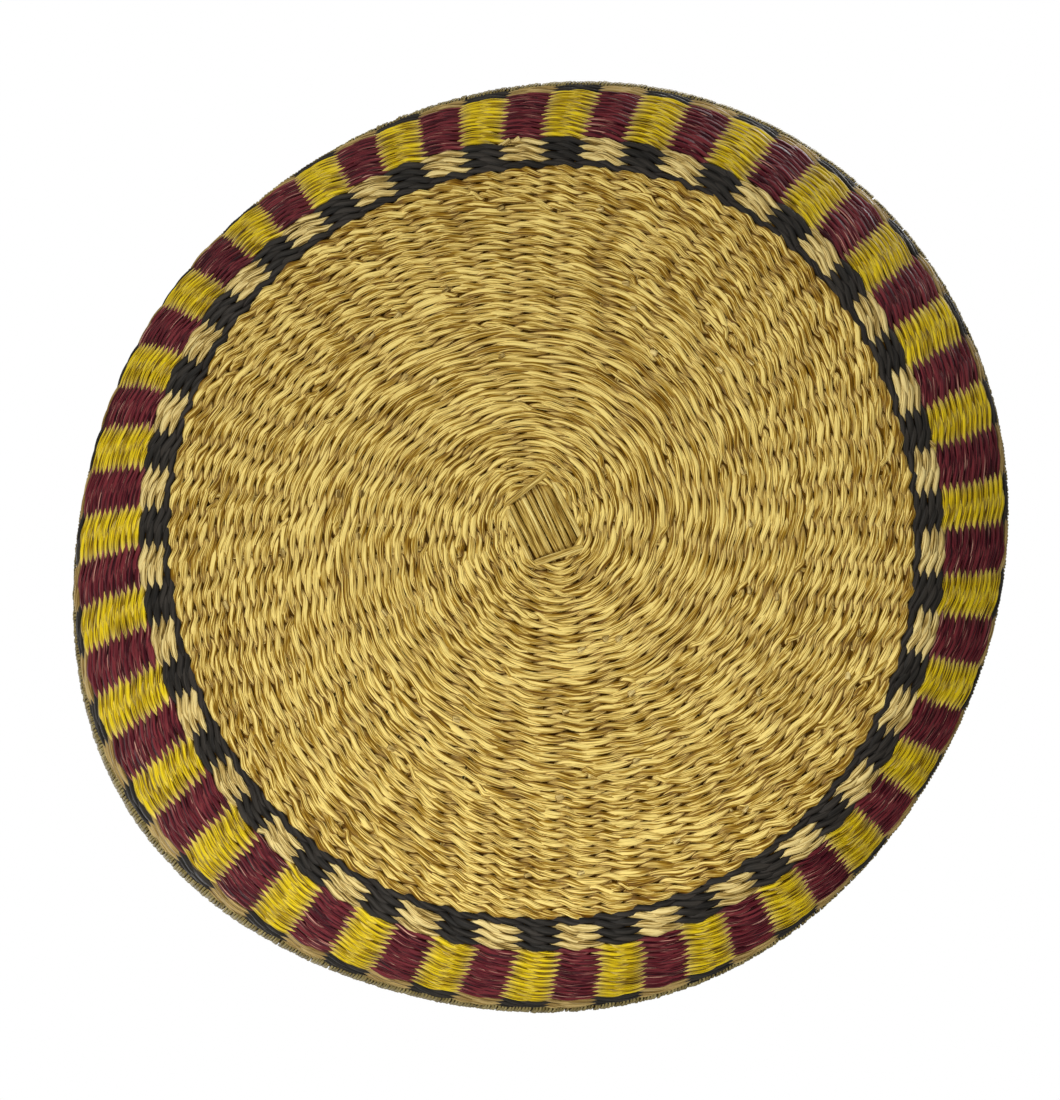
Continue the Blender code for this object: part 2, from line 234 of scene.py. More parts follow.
def twine(rows, pitches, stakePlaces, strands):
    # Each straw is a closed tube round the basket. Its middle stands out by the cosine of
    # the stitch phase, slides up the wall by its sine, sags by its cosine squared and narrows
    # where it dives between stakes. The phase grows by half a turn from one stake to the next,
    # and an odd number of stitches closes after two rounds. The two straws of a strand lie side
    # by side at the middle of a stitch, one ahead of the other, and come together at its ends.
    rows = np.asarray(rows, float)
    pitches = np.broadcast_to(np.asarray(pitches, float), rows.shape)[:, None, None, None]
    columns = stakePlaces.shape[-1]
    stakePlaces = np.broadcast_to(stakePlaces, (len(rows), columns))
    rounds = 2 if columns % 2 else 1
    span = columns * rounds
    samples = span * weave["samples"]
    place = np.arange(samples) / weave["samples"]
    side = np.array([1.0, -1.0])[None, None, :, None]       # the two straws of a strand
    shapeOf = (len(rows), len(strands), 2)
    chance = weave["chance"]

    def wander(kind, each=shapeOf):
        # One chance number for each stitch, blended from stitch to stitch, times its size
        steps = perStitch(randomSource.normal(0.0, 1.0, each + (span,)), place)
        return steps * chance[kind] * weave["unevenness"]

    strandPhase = np.asarray(strands, float)[None, :, None, None] * math.pi
    phase = math.pi * place + strandPhase + wander("phase", (len(rows), 1, 1))
    shifted = phase - side * (weave["lead"] + wander("lead"))
    lift = np.cos(shifted)
    full = np.abs(lift)
    outward = np.sign(lift) * full ** weave["fullness"] * (weave["outReach"] + wander("reach"))
    cosine = np.cos(phase) ** 2
    climb = -np.sin(phase) * (weave["slant"] + wander("slant")) + cosine * weave["belly"]
    climb = climb + side * (weave["spread"] + wander("spread")) * cosine + wander("level")
    waveCount = np.arange(*weave["driftWaves"])[:, None]
    drift = waveCount * math.tau * place[None, :] / columns
    drift = np.sin(drift + randomSource.uniform(0, math.tau, waveCount.shape))
    drift = (drift / waveCount).sum(0) * chance["drift"] * weave["unevenness"]
    middle = rows[:, None, None, None] + (climb + drift) * pitches
    halfWidth = weave["halfWidth"] * (weave["tip"] + (1 - weave["tip"]) * full)
    halfWidth = halfWidth * (1 + wander("width")) * pitches / shape["rowPitch"]
    halfThick = weave["halfThickness"] * (1 + wander("thickness"))
    roll = wander("roll")

    corner = (np.arange(weave["sides"]) + 0.5) * math.tau / weave["sides"]
    flatWay = halfWidth[..., None] * np.cos(corner)
    thickWay = halfThick[..., None] * np.sin(corner)
    turnCos, turnSin = np.cos(roll)[..., None], np.sin(roll)[..., None]
    length = middle[..., None] + flatWay * turnCos - thickWay * turnSin
    stand = outward[..., None] + flatWay * turnSin + thickWay * turnCos
    low = np.floor(place).astype(int)
    part = place - low
    onceRound = shape["columns"] * ((low % columns) == columns - 1)
    after = stakePlaces[:, (low + 1) % columns] + onceRound
    column = stakePlaces[:, low % columns] * (1 - part) + after * part
    angle = np.broadcast_to(columnAngle(column)[:, None, None, :, None], length.shape)
    points = onBasket(length, angle, stand)

    steady = randomSource.uniform(0, 1, shapeOf + (1,))
    tint = 0.5 + weave["strawTint"] * (steady - 0.5) + wander("tint")
    # Painted highlight at a stitch's middle, where it stands out, and painted shade where it dives
    # between stakes
    tint = tint + weave["paintedCrestShading"] * (full - weave["meanLift"])
    ends = np.abs(np.sin(shifted)) ** 3
    seed = randomSource.uniform(0, fibrePattern["seeds"], shapeOf + (1, 1))
    # There and back, so that the streaks meet at the seam
    run = np.abs(place - span / 2) * weave["streakRun"]
    face = np.abs(np.sin(corner)) - 0.6         # painted highlight on a straw's broad faces, painted shade at its edges; about nought on average
    values = {
        "fibre": fibreSpace(seed, corner, run[:, None]),
        "tint": (tint[..., None] + weave["paintedFaceShading"] * face).ravel(),
        "ends": np.broadcast_to(ends[..., None], length.shape).ravel(),
    }
    faces = loopFaces(int(np.prod(shapeOf)), samples, weave["sides"])
    return points.reshape(-1, 3), faces, values


def joined(*parts):
    # Several sets of points, faces and values as one, with the later faces renumbered.
    points = np.concatenate([part[0] for part in parts])
    starts = np.cumsum([0] + [len(part[0]) for part in parts[:-1]])
    faces = np.concatenate([part[1] + start for part, start in zip(parts, starts)])
    values = {label: np.concatenate([part[2][label] for part in parts]) for label in parts[0][2]}
    return points, faces, values


# Straw materials

def linear(red, green, blue):
    # Screen colour from 0 to 255 to linear: (c + 0.055) / 1.055 to the power 2.4.
    return tuple(((c / 255 + 0.055) / 1.055) ** 2.4 for c in (red, green, blue)) + (1.0,)


fibres = {
    "broad": (0.42, 1.0),       # scale and detail of the wide streaks
    "fine": (1.4, 2.0),
    "broadShare": 0.34,
    "fineShare": 0.66,
    "contrast": 4.0,
    "bareRange": (0.30, 0.60),  # fine streaks between these turn from coloured to bare at the ends
    "nick": (0.8, 1.0),
    "nickRange": (0.66, 0.72),  # only the strongest of this noise are nicks
    "roughness": 0.5,
    "roughSpread": 0.5,
    "bumpStrength": 0.8,
    "bumpDepth": 0.0003,
    "gloss": 0.12,
}


def strawFibres():
    # Streaks that run along each straw, a colour for each stitch and paler or bare ends.
    # Tone is the streaks times their contrast plus the tint: from dark over middle to light.
    group = bpy.data.node_groups.new("strawFibres", "ShaderNodeTree")
    face = group.interface
    colour, number = "NodeSocketColor", "NodeSocketFloat"
    for label, kind, value in (
        ("Dark", colour, (0.1, 0.05, 0.01, 1)),
        ("Middle", colour, (0.5, 0.3, 0.1, 1)),
        ("Light", colour, (0.9, 0.7, 0.3, 1)),
        ("End Colour", colour, (0.9, 0.8, 0.6, 1)),
        ("End Amount", number, 0.3),
        ("Nicks", number, 0.0),
        ("Streaks", number, 0.5),
        ("Roughness", number, 0.5),
    ):
        socket = face.new_socket(label, in_out="INPUT", socket_type=kind)
        socket.default_value = value
    for label, kind in (("Colour", colour), ("Roughness", number), ("Height", number)):
        face.new_socket(label, in_out="OUTPUT", socket_type=kind)
    nodes, links = group.nodes, group.links
    given = nodes.new("NodeGroupInput")
    result = nodes.new("NodeGroupOutput")

    def attribute(label):
        node = nodes.new("ShaderNodeAttribute")
        node.attribute_name = label
        return node

    def calculate(operation, first, second, third=None):
        node = nodes.new("ShaderNodeMath")
        node.operation = operation
        for socket, value in zip(node.inputs, (first, second, third)):
            if value is None:
                continue
            if isinstance(value, (int, float)):
                socket.default_value = value
            else:
                links.new(value, socket)
        return node.outputs[0]

    def noise(kind):
        node = nodes.new("ShaderNodeTexNoise")
        node.inputs["Scale"].default_value, node.inputs["Detail"].default_value = fibres[kind]
        links.new(attribute("fibre").outputs["Vector"], node.inputs["Vector"])
        return node.outputs["Fac"]

    def blend(factor, first, second):
        node = nodes.new("ShaderNodeMix")
        node.data_type = "RGBA"
        links.new(factor, node.inputs["Factor"])
        links.new(first, node.inputs["A"])
        links.new(second, node.inputs["B"])
        return node.outputs["Result"]

    def clamp(value, low, high):
        node = nodes.new("ShaderNodeMapRange")
        node.inputs["From Min"].default_value = low
        node.inputs["From Max"].default_value = high
        links.new(value, node.inputs["Value"])
        return node.outputs["Result"]

    broad = noise("broad")
    fine = noise("fine")
    broadPart = calculate("MULTIPLY", broad, fibres["broadShare"])
    finePart = calculate("MULTIPLY", fine, fibres["fineShare"])
    streak = calculate("SUBTRACT", calculate("ADD", broadPart, finePart), 0.5)
    strength = calculate("MULTIPLY", given.outputs["Streaks"], fibres["contrast"])
    # The tint holds each stitch's own tone and also the painted highlights and painted shade set on
    # the meshes
    tone = calculate("MULTIPLY_ADD", streak, strength, attribute("tint").outputs["Fac"])
    lower = blend(clamp(tone, 0.0, 0.5), given.outputs["Dark"], given.outputs["Middle"])
    shade = blend(clamp(tone, 0.5, 1.0), lower, given.outputs["Light"])
    endMask = calculate("MULTIPLY", attribute("ends").outputs["Fac"], given.outputs["End Amount"])
    endMask = calculate("MULTIPLY", endMask, clamp(fine, *fibres["bareRange"]))
    shade = blend(endMask, shade, given.outputs["End Colour"])
    nick = clamp(noise("nick"), *fibres["nickRange"])
    nick = calculate("MULTIPLY", nick, given.outputs["Nicks"])
    shade = blend(nick, shade, given.outputs["End Colour"])
    links.new(shade, result.inputs["Colour"])
    rough = calculate("MULTIPLY_ADD", streak, fibres["roughSpread"], given.outputs["Roughness"])
    links.new(rough, result.inputs["Roughness"])
    links.new(streak, result.inputs["Height"])
    return group


fibreGroup = strawFibres()


def strawMaterial(name, dark, middle, light, end, bare, nicks=0.0, streaks=1.0):
    # Three tones from 0 to 255 and the colour of bare ends, with how bare, nicked and streaky.
    material = bpy.data.materials.new(name)
    material.use_nodes = True
    nodes, links = material.node_tree.nodes, material.node_tree.links
    shader = nodes["Principled BSDF"]
    straw = nodes.new("ShaderNodeGroup")
    straw.node_tree = fibreGroup
    tones = {"Dark": dark, "Middle": middle, "Light": light, "End Colour": end}
    for label, tone in tones.items():
        straw.inputs[label].default_value = linear(*tone)
    amounts = {"End Amount": bare, "Nicks": nicks, "Streaks": streaks,
               "Roughness": fibres["roughness"]}
    for label, amount in amounts.items():
        straw.inputs[label].default_value = amount
    bump = nodes.new("ShaderNodeBump")
    bump.inputs["Strength"].default_value = fibres["bumpStrength"]
    bump.inputs["Distance"].default_value = fibres["bumpDepth"]
    links.new(straw.outputs["Height"], bump.inputs["Height"])
    links.new(straw.outputs["Colour"], shader.inputs["Base Color"])
    links.new(straw.outputs["Roughness"], shader.inputs["Roughness"])
    links.new(bump.outputs["Normal"], shader.inputs["Normal"])
    shader.inputs["Metallic"].default_value = 0.0
    shader.inputs["Specular IOR Level"].default_value = fibres["gloss"]
    return material


naturalStraw = strawMaterial("naturalStraw", (100, 63, 1), (170, 130, 32), (255, 228, 134),
                             (244, 216, 144), 0.3, streaks=1.35)
paleStraw = strawMaterial("paleStraw", (92, 68, 16), (190, 158, 84), (246, 222, 148),
                          (240, 218, 156), 0.3, streaks=1.4)
# Painted shade: a darker copy of the natural straw, for the outer natural band
shadyStraw = strawMaterial("shadyStraw", (90, 66, 20), (154, 124, 66), (206, 178, 114),
                           (206, 180, 122), 0.3)
stakeStraw = strawMaterial("stakeStraw", (112, 78, 8), (202, 168, 80), (252, 230, 148),
                           (236, 214, 150), 0.0)
yellowStraw = strawMaterial("yellowStraw", (72, 45, 1), (178, 143, 1), (248, 218, 28),
                            (248, 226, 142), 0.85, streaks=1.4)
maroonStraw = strawMaterial("maroonStraw", (36, 2, 12), (72, 9, 25), (124, 46, 52),
                            (212, 160, 138), 0.12, nicks=1.0, streaks=1.4)
blackStraw = strawMaterial("blackStraw", (18, 16, 15), (37, 35, 31), (62, 57, 51),
                           (104, 84, 78), 0.12, streaks=0.6)
rimStraw = strawMaterial("rimStraw", (60, 50, 22), (132, 116, 66), (178, 162, 108),
                         (180, 160, 112), 0.2, streaks=0.6)
# Painted shade: the dark colour of the gaps between stitches, worn by the sheet inside the weave and
# the rim's core
paintedShadeStraw = strawMaterial("paintedShadeStraw", (72, 48, 3), (102, 69, 5), (126, 88, 12),
                             (102, 69, 5), 0.0)
print("materials made")

# Flat base: rows of natural straw. Near the middle they pass over several stakes at once, and
# the further out a row lies, the more stitches it has

base = {
    "firstRow": 0.0128,         # radius of the innermost row
    "rows": 39,
    "innerPitch": 0.0026,
    "lastRowIn": 0.0004,        # the outermost row lies this far inside the base's edge
    # From this radius on, this many stitches round
    "stitches": ((0.0, 9), (0.0195, 11), (0.026, 14), (0.039, 17), (0.045, 19), (0.055, 21),
                 (0.060, 23), (0.065, 28), (0.069, 30), (0.078, 33), (0.082, 38), (0.086, 46),
                 (0.108, 54), (0.112, 62)),
    "joinRange": (0.1, 0.9),    # part of its stretch of the row in which a pair becomes one
    "evenRounds": 3,            # times that the stitches of a row move towards even spacing
    "evenShare": 0.2,
    "edgeShade": 0.06,          # painted shade: how much darker the outermost rows are
    "shadeFrom": 0.07,          # radius at which they start to darken
    "shadeWidth": 0.05,
    "pieceStarts": (0, 17, 25, 33),     # first row of each mesh
}

# Each row is a little wider than the one inside it, so that the rows fill the base exactly
steps = np.arange(base["rows"])
edgeRow = shape["baseRadius"] - base["lastRowIn"]
meanPitch = (edgeRow - base["firstRow"]) / (base["rows"] - 1)
pitchRise = 2 * (meanPitch - base["innerPitch"]) / (base["rows"] - 1)
rowRadius = base["firstRow"] + steps * base["innerPitch"] + pitchRise * steps * steps / 2
rowPitch = base["innerPitch"] + pitchRise * steps
fromRadius, stitchCounts = (np.array(column) for column in zip(*base["stitches"]))
rowStitches = stitchCounts[np.searchsorted(fromRadius, rowRadius, side="right") - 1].astype(int)


def rowStakes(counts):
    # From the edge inwards: where a row has fewer stitches than the one outside it, pairs of
    # neighbours become one at their mean, and then all even out a little towards each other.
    places = np.arange(shape["columns"], dtype=float)
    found = []
    for count in counts[::-1]:
        spare = len(places) - count
        if spare > 0:
            firsts = np.arange(spare) + randomSource.uniform(*base["joinRange"], spare)
            firsts = (firsts * len(places) / spare).astype(int)
            firsts = firsts[firsts < len(places) - 1]
            firsts = firsts[np.diff(firsts, append=2 * shape["columns"]) > 1]
            places[firsts] = (places[firsts] + places[firsts + 1]) / 2
            places = np.delete(places, firsts + 1)
        for _ in range(base["evenRounds"]):
            before, after = places[-1] - shape["columns"], places[0] + shape["columns"]
            around = np.concatenate([[before], places, [after]])
            beside = around[2:] + around[:-2]
            places = places * (1 - 2 * base["evenShare"]) + beside * base["evenShare"]
        found.append(places)
    return found[::-1]


stakesOfRows = rowStakes(rowStitches)
pieceEnds = base["pieceStarts"][1:] + (base["rows"],)
for number, (first, last) in enumerate(zip(base["pieceStarts"], pieceEnds)):
    parts = []
    for row in range(first, last):
        # With an odd number of stitches one strand goes round twice and is both strands
        strands = (0,) if len(stakesOfRows[row]) % 2 else (0, 1)
        length = rowRadius[row:row + 1] - shape["baseRadius"]
        part = twine(length, rowPitch[row], stakesOfRows[row], strands)
        # Painted shade: rows further out than shadeFrom grow darker outwards
        outside = max(0.0, rowRadius[row] - base["shadeFrom"])
        part[2]["tint"] -= base["edgeShade"] * outside / base["shadeWidth"]
        parts.append(part)
    name = f"baseWeft{number + 1}"
    makePiece(name, *joined(*parts), naturalStraw, "natural_straw", ["base_weft"])

# Wall bands

def bandRows(first, count):
    # Places of a band's rows up the wall: its start plus a half, one and a half and so on.
    return first + (np.arange(count) + 0.5) * shape["rowPitch"]


wall = {
    "lineRow": 0.0021,          # middle of the single dark row
    "linePitch": 0.0022,        # which is narrower than the others
    "shadeSheetFlat": (-0.1202, -0.003),   # the inner sheet's stretch on the base, from the base's edge
    "shadeSheetHalf": 0.0005,
    "shadeSheetSteps": (20, 16),   # points across the base and up the wall
    "shadeSheetColumns": 124,      # points round it
    "shadeSheetStreaks": (900, 0.2),       # scale of its streaks up the wall and round it
}

innerRows = bandRows(lineEnd, shape["checkRows"])
mainRows = bandRows(footEnd, shape["mainRows"])
outerRows = bandRows(mainEnd, shape["checkRows"])
wallBands = (
    ("innerBlack", innerRows, (0,), blackStraw, "black_straw", ["inner_check_black"]),
    ("innerNatural", innerRows, (1,), paleStraw, "natural_straw", ["inner_check_natural"]),
    ("mainYellow", mainRows, (0,), yellowStraw, "yellow_straw", ["main_check_yellow"]),
    ("mainMaroon", mainRows, (1,), maroonStraw, "maroon_straw", ["main_check_maroon"]),
    ("outerBlack", outerRows, (0,), blackStraw, "black_straw", ["outer_check_black"]),
    ("outerNatural", outerRows, (1,), shadyStraw, "natural_straw", ["outer_check_natural"]),
)
wallStakes = np.arange(float(shape["columns"]))
lineTwine = twine([wall["lineRow"]], wall["linePitch"], wallStakes, (0, 1))
makePiece("lineRow", *lineTwine, blackStraw, "black_straw", ["line_strand_a", "line_strand_b"])
for name, rows, strands, material, slotName, nodes in wallBands:
    bandTwine = twine(rows, shape["rowPitch"], wallStakes, strands)
    makePiece(name, *bandTwine, material, slotName, nodes)


def paintedShadeSheet():
    # Painted shade: one closed dark sheet in the middle of the weave. It stands for the straws that
    # change sides between stakes, and its dark colour is painted shade in the gaps between stitches:
    # its section runs up the wall on one side and back on the other, carried round the basket.
    flatSteps, wallSteps = wall["shadeSheetSteps"]
    flat = np.linspace(*wall["shadeSheetFlat"], flatSteps)
    outer = np.concatenate([flat, np.linspace(0.0, wallEnd, wallSteps)])
    lengths = np.concatenate([outer, outer[::-1]])[None, :]
    sides = np.repeat([wall["shadeSheetHalf"], -wall["shadeSheetHalf"]], len(outer))[None, :]
    step = np.arange(wall["shadeSheetColumns"])[:, None]
    column = step * shape["columns"] / wall["shadeSheetColumns"]
    points = onBasket(lengths, columnAngle(column), sides)
    upScale, roundScale = wall["shadeSheetStreaks"]
    fibre = np.stack(np.broadcast_arrays(lengths * upScale, step * roundScale, sides), axis=-1)
    plain = np.zeros(fibre.shape[:2]).ravel()
    values = {"fibre": fibre.reshape(-1, 3), "tint": plain + 0.5, "ends": plain}
    faces = loopFaces(1, wall["shadeSheetColumns"], lengths.size)
    return points.reshape(-1, 3), faces, values


makePiece("weaveShadeSheet", *paintedShadeSheet(), paintedShadeStraw, "natural_straw", ["base_weft"])

# Rim: one long straw wound round and round the core and the top of the wall

rim = {
    "turns": 850,
    "samples": 8,
    "sides": 5,
    "reach": 0.0032,        # half the rim's thickness
    "grip": 0.0056,         # how far down the wall the straw passes through
    "halfWidth": 0.00076,
    "halfThickness": 0.00036,
    "squeeze": 0.45,        # how much narrower the straw gets where it goes through the wall
    "lean": 0.35,           # how far each winding leans along the rim, in windings
    "girth": 0.158,         # radius that turns the straw's width into an angle
    "streakRun": 3.1,
    "paintedFaceShading": 0.2,       # painted highlight and shade: how much paler the straw's outer face is than its edges
    "chance": {"reach": 0.00012, "width": 0.14, "thickness": 0.1, "place": 0.16, "tint": 0.16},
    "coreRadius": 0.0025,
    "coreSides": 12,
    "coreSteps": 124,
    # Painted shade: the core is darker than the winding straw
    "coreTint": 0.3,
    "coreStreaks": (0.4, 3.0),      # the streaks' run for each step, and the radius of their circle
}


def windRim():
    # A helix round the rim's centre line: outward is the sine of the turn, and along the wall
    # it is the cosine, longer below than above. The section is a flat ellipse across the path.
    count = rim["turns"] * rim["samples"]
    place = np.arange(count) / rim["samples"]
    turn = math.tau * place
    chance = rim["chance"]
    perTurn = perStitch(randomSource.normal(0.0, 1.0, (4, rim["turns"])), place)
    reach = rim["reach"] + perTurn[0] * chance["reach"]
    below = np.cos(turn) < 0
    along = np.where(below, rim["grip"], reach) * np.cos(turn)
    squeeze = np.where(below, 1 + rim["squeeze"] * np.cos(turn), 1.0)
    width = rim["halfWidth"] * (1 + chance["width"] * perTurn[1]) * squeeze
    thick = rim["halfThickness"] * (1 + chance["thickness"] * perTurn[2])
    corner = (np.arange(rim["sides"]) + 0.5) * math.tau / rim["sides"]
    thickWay = thick[:, None] * np.sin(corner)
    length = rimCentre + along[:, None] + thickWay * np.cos(turn)[:, None]
    stand = (reach * np.sin(turn))[:, None] + thickWay * np.sin(turn)[:, None]
    uneven = perStitch(randomSource.normal(0.0, chance["place"], rim["turns"]), place)
    column = (place + uneven + rim["lean"] * np.sin(turn)) / rim["turns"] * shape["columns"]
    angle = columnAngle(column)[:, None] + width[:, None] * np.cos(corner) / rim["girth"]
    points = onBasket(length, angle, stand)
    tint = 0.5 + chance["tint"] * perTurn[3]
    values = {
        "fibre": fibreSpace(0.0, corner, (place * rim["streakRun"])[:, None]),
        # Painted highlight on the winding's outer face and painted shade on its edges and inner face
        "tint": (tint[:, None] + rim["paintedFaceShading"] * np.sin(corner)).ravel(),
        "ends": np.repeat(np.clip(-np.cos(turn), 0, 1) ** 2, rim["sides"]),
    }
    return points.reshape(-1, 3), loopFaces(1, count, rim["sides"]), values


def rimCore():
    # A round bundle under the winding: a circle carried along the rim's centre line.
    corner = np.arange(rim["coreSides"]) * math.tau / rim["coreSides"]
    step = np.arange(rim["coreSteps"])[:, None]
    length = rimCentre + rim["coreRadius"] * np.cos(corner)[None, :]
    stand = rim["coreRadius"] * np.sin(corner)[None, :]
    column = step * shape["columns"] / rim["coreSteps"]
    points = onBasket(length, columnAngle(column), stand)
    plain = np.zeros(points[..., 0].size)
    stepRun, girth = rim["coreStreaks"]
    values = {
        "fibre": fibreSpace(0.0, corner, step * stepRun, girth),
        "tint": plain + rim["coreTint"],
        "ends": plain,
    }
    return points.reshape(-1, 3), loopFaces(1, rim["coreSteps"], rim["coreSides"]), values


makePiece("rimWrap", *windRim(), rimStraw, "rim_straw", ["rim_wrap"])
# The rim's core is real, but it wears the dark painted-shade straw, so it shows as shade between the
# windings
makePiece("rimCore", *rimCore(), paintedShadeStraw, "stake_straw", ["rim_core"])

# Straws of the starting cross and the stakes

stakes = {
    "halfWidth": 0.00112,
    "halfThickness": 0.00085,
    "sides": 8,
    "pitch": 0.0022,            # from one straw of the cross to the next
    "lowLevel": 0.00125,        # heights of the two layers of the cross
    "highLevel": 0.0031,
    "reaches": (0.003, 0.0085, 0.0102, 0.0128),     # points along the nine straws from the middle
    "bulge": 0.004,             # the middle ones of the cross run this much further before they turn
    "aslant": (0.3, 1.0, 1.0, 0.5),     # how much of its chance shift each of those points takes
    "slantChance": 0.00035,
    "crossReach": 0.0103,       # where the five crossing straws turn
    "crossPoints": (0.2, 0.55, 0.85, 1.1),      # points along them, as shares of that
    "firstColumn": 12,          # the column that the middle one of the nine becomes
    "firstRadius": 0.020,       # from here out a straw of the cross is a stake
    "addedFrom": 0.088,         # here an added stake begins, runs in to about 0.068 and turns back
    "flatPoints": (-0.06, -0.03, 0.0),  # points of a stake across the base, from the base's edge
    "wallStart": 0.003,         # the first of its points up the wall
    "wallPoints": 8,
    # Where the first straw of each side of the cross ends, in steps of two columns from the
    # nine's middle one: the steps go once round the basket, nine, seven, nine and six of them
    "firstEnds": {"ahead": 4, "right": -11, "behind": -20, "left": -21},
    "lastLeft": 5,              # on the left the last two of the seven share a column
    "binderReach": 0.0121,
    "binderHalfLength": 0.0088,
    "binderLevels": (0.00115, 0.00115, 0.00125, 0.0040),    # across the front, then in between rows
    "binderTilts": (-0.20, 0.133),      # the two binders aren't square to the nine straws
    "tipShare": 0.02,           # both ends of a straw close to this share of its width
    "widthChance": 0.12,
    "tintChance": 0.15,
    "tintRange": (0.2, 0.8),
    "streakLength": 0.010,
}


def strawAlong(paths, halfWidth, halfThickness):
    # A flat straw along each path: its ellipse lies across the path, wide side level with
    # the ground and square to it, and both ends are closed to a point.
    count, length = paths.shape[:2]
    ahead = np.gradient(paths, axis=1)
    ahead /= np.linalg.norm(ahead, axis=-1, keepdims=True)
    level = np.cross(np.array([0.0, 0.0, 1.0]), ahead)
    level /= np.linalg.norm(level, axis=-1, keepdims=True)
    upright = np.cross(ahead, level)
    sides = stakes["sides"]
    corner = (np.arange(sides) + 0.5) * math.tau / sides
    taper = np.ones(length)
    taper[[0, -1]] = stakes["tipShare"]
    uneven = 1 + stakes["widthChance"] * randomSource.normal(0, 1, (count, 1))
    wide = (halfWidth * uneven * taper)[:, :, None] * np.cos(corner)
    thick = (halfThickness * np.ones((count, 1)) * taper)[:, :, None] * np.sin(corner)
    points = (paths[:, :, None, :] + wide[..., None] * level[:, :, None, :]
              + thick[..., None] * upright[:, :, None, :])
    seed = randomSource.uniform(0, fibrePattern["seeds"], (count, 1, 1))
    pieces = np.linalg.norm(np.diff(paths, axis=1, prepend=paths[:, :1]), axis=-1)
    run = np.cumsum(pieces, axis=1) / stakes["streakLength"]
    tint = 0.5 + stakes["tintChance"] * randomSource.normal(0, 1, (count, 1, 1))
    values = {
        "fibre": fibreSpace(seed, corner, run[:, :, None]),
        "tint": np.broadcast_to(np.clip(tint, *stakes["tintRange"]), wide.shape).ravel(),
        "ends": np.zeros(wide.size),
    }
    return points.reshape(-1, 3), loopFaces(count, length, sides, closed=False), values


def smoothed(paths, rounds=3):
    # Corner cutting: each stretch gives the points at a quarter and three quarters of it.
    for _ in range(rounds):
        first, second = paths[:, :-1], paths[:, 1:]
        cut = np.stack([0.75 * first + 0.25 * second, 0.25 * first + 0.75 * second], axis=2)
        cut = cut.reshape(len(paths), -1, 3)
        paths = np.concatenate([paths[:, :1], cut, paths[:, -1:]], axis=1)
    return paths


def upTheWall(columns, firstRadius):
    # A stake's middle line from a radius on the base to under the rim, one row per stake.
    flat = [firstRadius - shape["baseRadius"], *stakes["flatPoints"]]
    up = np.linspace(stakes["wallStart"], wallEnd, stakes["wallPoints"])
    lengths = np.concatenate([flat, up])[None, :]
    return onBasket(lengths, columnAngle(columns)[:, None], np.zeros((1, 1)))


def joinColumn(steps):
    # The column a straw of the cross turns into, in steps of two from the nine's middle one.
    return stakes["firstColumn"] + 2 * steps


def fromStart(across, along, height):
    # A point of the starting cross, turned to lie along it and shifted to its middle.
    turn = math.radians(shape["startAngle"]) - math.tau / 4
    x = across * math.cos(turn) - along * math.sin(turn) + shape["startShift"][0]
    y = across * math.sin(turn) + along * math.cos(turn) + shape["startShift"][1]
    return np.stack(np.broadcast_arrays(x, y, height), axis=-1)


def startPath(places, reaches, levels, shifts, aheadEnds, behindEnds):
    # Up the wall at one end, level across the middle, and up the wall at the other end.
    aside = places[:, None] + shifts[:, :, None] * np.array(stakes["aslant"])
    ahead = fromStart(aside[0], reaches, levels[None, :])
    behind = fromStart(aside[1], -reaches, levels[None, :])
    out = upTheWall(joinColumn(aheadEnds), stakes["firstRadius"])
    back = upTheWall(joinColumn(behindEnds), stakes["firstRadius"])
    return np.concatenate([back[:, ::-1], behind[:, ::-1], ahead, out], axis=1)


firstEnds = stakes["firstEnds"]
nine = np.arange(9)
ninePlaces = (nine - 4) * stakes["pitch"]
nineReaches = np.tile(stakes["reaches"], (9, 1))
nineReaches[:, -1] += stakes["bulge"] * (1 - (ninePlaces / ninePlaces[-1]) ** 2)
nineShifts = randomSource.uniform(-stakes["slantChance"], stakes["slantChance"], (2, 9))
nineLevels = np.repeat([stakes["lowLevel"], stakes["highLevel"]], 2)
nineEnds = (firstEnds["ahead"] - nine, firstEnds["behind"] + nine)
ninePaths = startPath(ninePlaces, nineReaches, nineLevels, nineShifts, *nineEnds)
nineStraws = strawAlong(smoothed(ninePaths), stakes["halfWidth"], stakes["halfThickness"])


def crossPaths():
    # Five straws behind the nine and two binders in front of them, at right angles to them.
    index = np.arange(7)
    binder = (index == 0) | (index == 6)
    along = (index - 3) * stakes["pitch"]
    along[[0, -1]] = -stakes["binderReach"], stakes["binderReach"]
    level = np.where(binder[:, None], stakes["binderLevels"], stakes["highLevel"])
    bulge = stakes["bulge"] * (1 - (along / stakes["binderReach"]) ** 2)
    turnAt = np.where(binder, stakes["binderHalfLength"], stakes["crossReach"] + bulge)
    spots = np.array(stakes["crossPoints"])[None, :] * turnAt[:, None]
    tilt = np.zeros((7, 1))
    tilt[[0, -1], 0] = stakes["binderTilts"]
    right = fromStart(spots, along[:, None] + tilt * spots, level)
    left = fromStart(-spots, along[:, None] - tilt * spots, level)
    leftEnds = firstEnds["left"] - np.minimum(index, stakes["lastLeft"])
    out = upTheWall(joinColumn(firstEnds["right"] + index), stakes["firstRadius"])
    back = upTheWall(joinColumn(leftEnds), stakes["firstRadius"])
    return smoothed(np.concatenate([back[:, ::-1], left[:, ::-1], right, out], axis=1))


